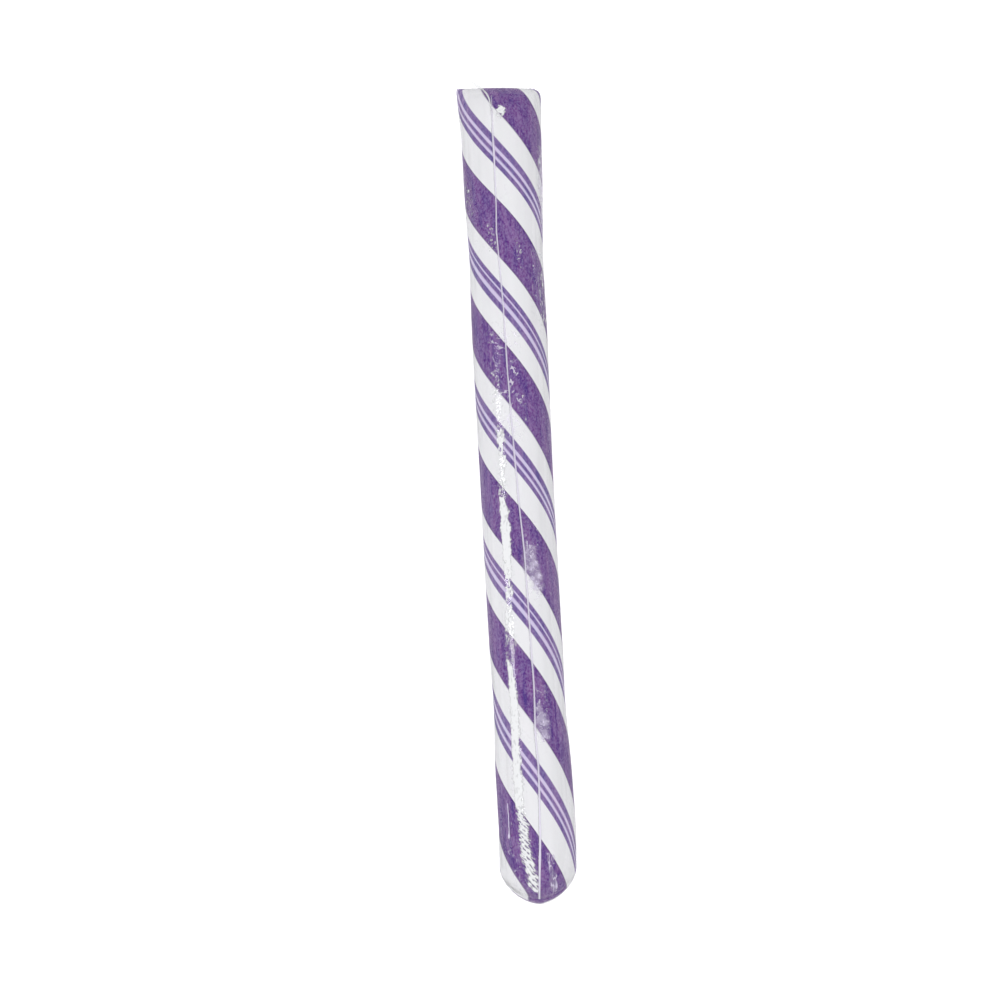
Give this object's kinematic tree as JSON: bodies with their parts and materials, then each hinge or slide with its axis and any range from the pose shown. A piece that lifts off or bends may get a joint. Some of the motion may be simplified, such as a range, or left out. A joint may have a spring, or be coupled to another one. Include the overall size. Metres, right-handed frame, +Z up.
{
  "type": "hard candy stick",
  "caption": "Long round stick of pulled hard sugar with twisted purple and white stripes, pinched at both ends and sealed in tight clear film.",
  "frame": {"origin": "on the surface it lies on, under the middle of its length and width", "axes": "+X along the stick to the straight, spread end (the head), +Y to its left seen from above with the head up, +Z up"},
  "size_m": [0.1334, 0.0134, 0.0123],
  "materials": {
    "striped_sugar": "pulled hard sugar, white with one pair of wide purple stripes and two sets of three thin purple lines, glossy under clear film",
    "clear_film": "clear shrunk film, glossy and finely crinkled, with a lengthwise lap seam"
  },
  "bodies": {
    "root": {"wrapped_candy_stick": "striped_sugar"}
  },
  "joints": []
}
